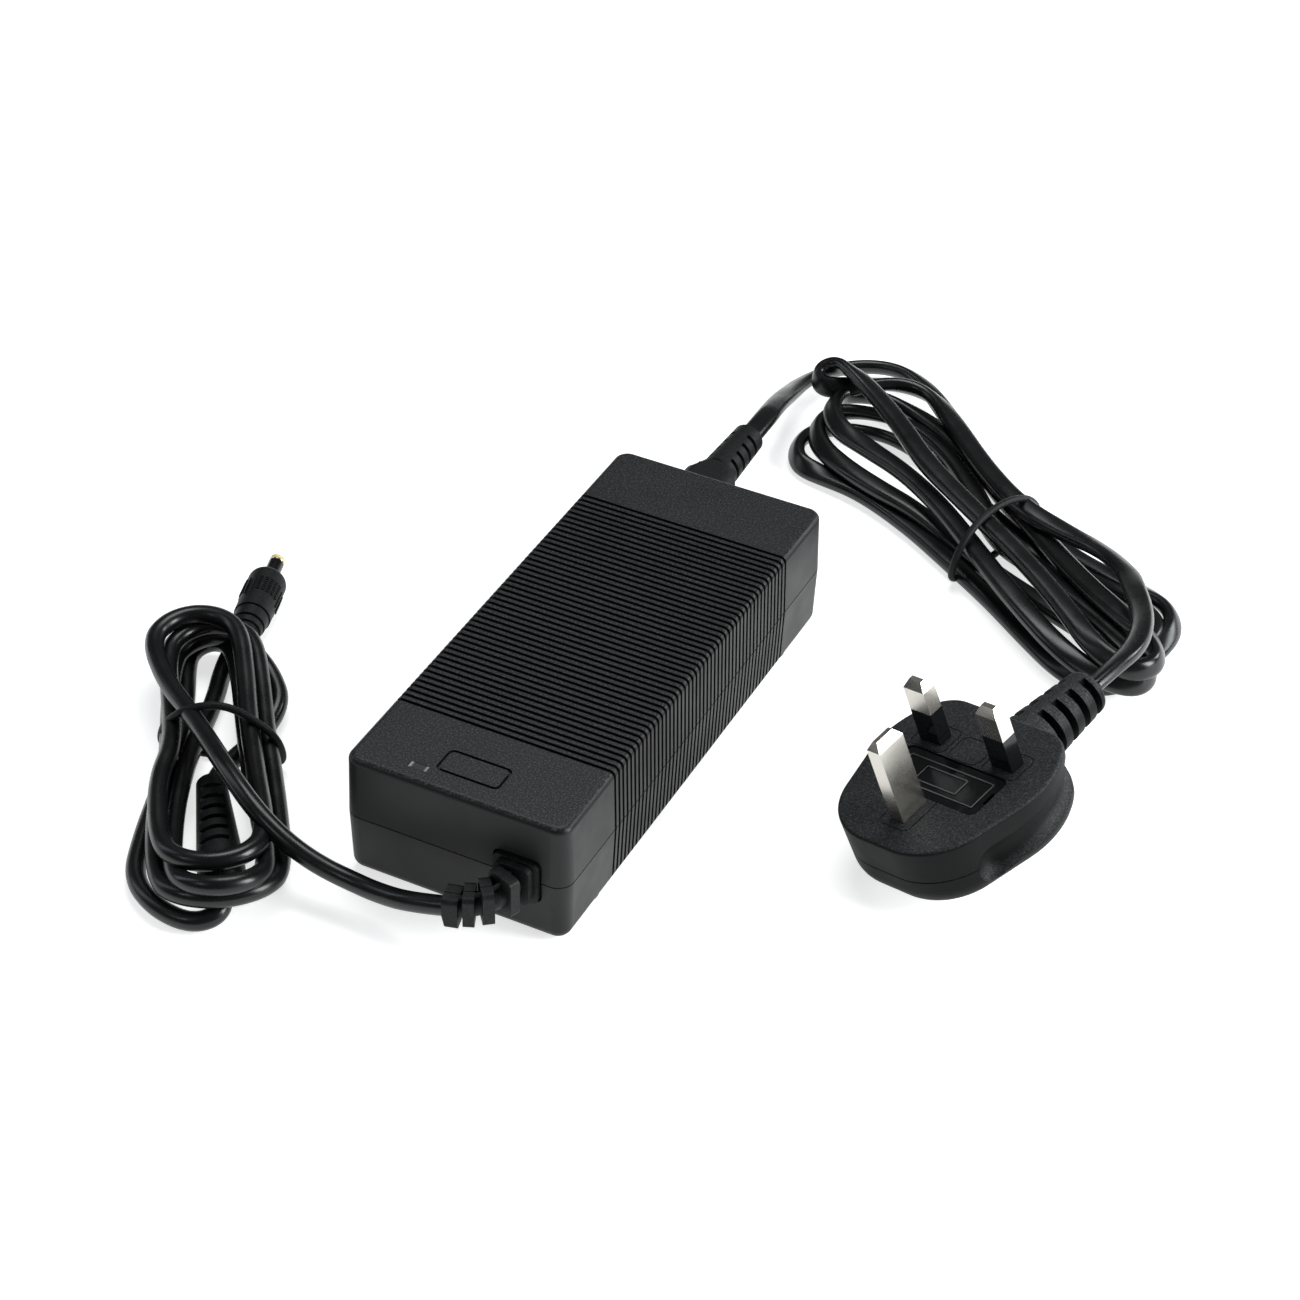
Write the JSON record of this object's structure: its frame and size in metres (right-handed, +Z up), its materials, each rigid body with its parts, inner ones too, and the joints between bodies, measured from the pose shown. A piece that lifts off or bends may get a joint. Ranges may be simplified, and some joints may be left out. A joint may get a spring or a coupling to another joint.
{
  "type": "laptop power adapter",
  "caption": "Ribbed two-shell laptop power adapter with a tied output lead and barrel plug, and a detachable mains lead with a fused British plug.",
  "frame": {"origin": "centre of the case's footprint, on the surface it stands on", "axes": "+Z up, -Y towards the output lead, +Y towards the mains inlet, +X towards the side with the output strain relief"},
  "size_m": [0.2288, 0.2822, 0.0454],
  "materials": {
    "case_black": "fine spark-eroded texture",
    "soft_black": "satin",
    "cord_black": "semi-gloss",
    "gloss_black": "gloss",
    "window_clear": "translucent",
    "yellow_plastic": "gloss",
    "nickel": "satin nickel plate",
    "dark_nickel": "dark nickel plate",
    "brass_part": "bright",
    "steel_part": "zinc plate",
    "aluminium_part": "mill",
    "ferrite": "sintered",
    "board_green": "solder mask",
    "winding_yellow": "tape",
    "copper_wire": "enamel",
    "chip_black": "moulded epoxy",
    "can_sleeve": "shrink sleeve",
    "box_yellow": "film capacitor case",
    "disc_blue": "dipped",
    "fuse_white": "ceramic",
    "sheet_white": "insulating film",
    "led_green": "epoxy lens",
    "wire_red": "wire insulation"
  },
  "bodies": {
    "case": {"upper_shell": "case_black", "lower_shell": "case_black", "indicator_window": "window_clear", "rubber_feet": "soft_black", "case_screws": "steel_part", "circuit_board": "board_green", "insulating_sheet": "sheet_white", "choke_core": "ferrite", "choke_windings": "copper_wire", "transformer_core": "ferrite", "transformer_winding": "winding_yellow", "output_inductor": "copper_wire", "primary_heatsink": "aluminium_part", "power_transistor": "chip_black", "secondary_heatsink": "aluminium_part", "output_rectifier": "chip_black", "bridge_rectifier": "chip_black", "heat_spreader": "aluminium_part", "bulk_capacitor": "can_sleeve", "output_capacitors": "can_sleeve", "x_capacitor": "box_yellow", "y_capacitor": "disc_blue", "inrush_thermistor": "chip_black", "board_fuse": "chip_black", "control_chips": "chip_black", "optocoupler": "chip_black", "indicator_led": "led_green", "output_strain_relief": "soft_black", "output_wires": "wire_red", "output_cord": "cord_black", "output_hank": "cord_black", "output_hank_tie": "soft_black", "ferrite_cover": "soft_black", "ferrite_core": "ferrite", "dc_plug_body": "soft_black", "dc_plug_sleeve": "dark_nickel", "dc_plug_insulator": "yellow_plastic", "dc_plug_contact": "nickel", "inlet_socket": "gloss_black", "inlet_pins": "brass_part"},
    "mains_lead": {"inlet_connector": "soft_black", "connector_contacts": "brass_part", "mains_cord": "cord_black", "mains_hank": "cord_black", "mains_hank_tie": "soft_black", "plug_cord": "cord_black", "plug_base": "case_black", "plug_cover": "case_black", "earth_pin": "nickel", "neutral_pin": "nickel", "live_pin": "nickel", "pin_sleeves": "gloss_black", "fuse_clips": "brass_part"},
    "fuse_drawer": {"fuse_carrier": "gloss_black", "plug_fuse_body": "fuse_white", "plug_fuse_caps": "nickel"}
  },
  "joints": [
    {"name": "mains_lead_pull", "type": "slide", "parent": "case", "child": "mains_lead", "axis": [0, 1, 0], "range_m": [0, 0.02]},
    {"name": "fuse_drawer_pull", "type": "slide", "parent": "mains_lead", "child": "fuse_drawer", "axis": [-0.2977, -0.123, 0.9467], "range_m": [0, 0.014]}
  ]
}
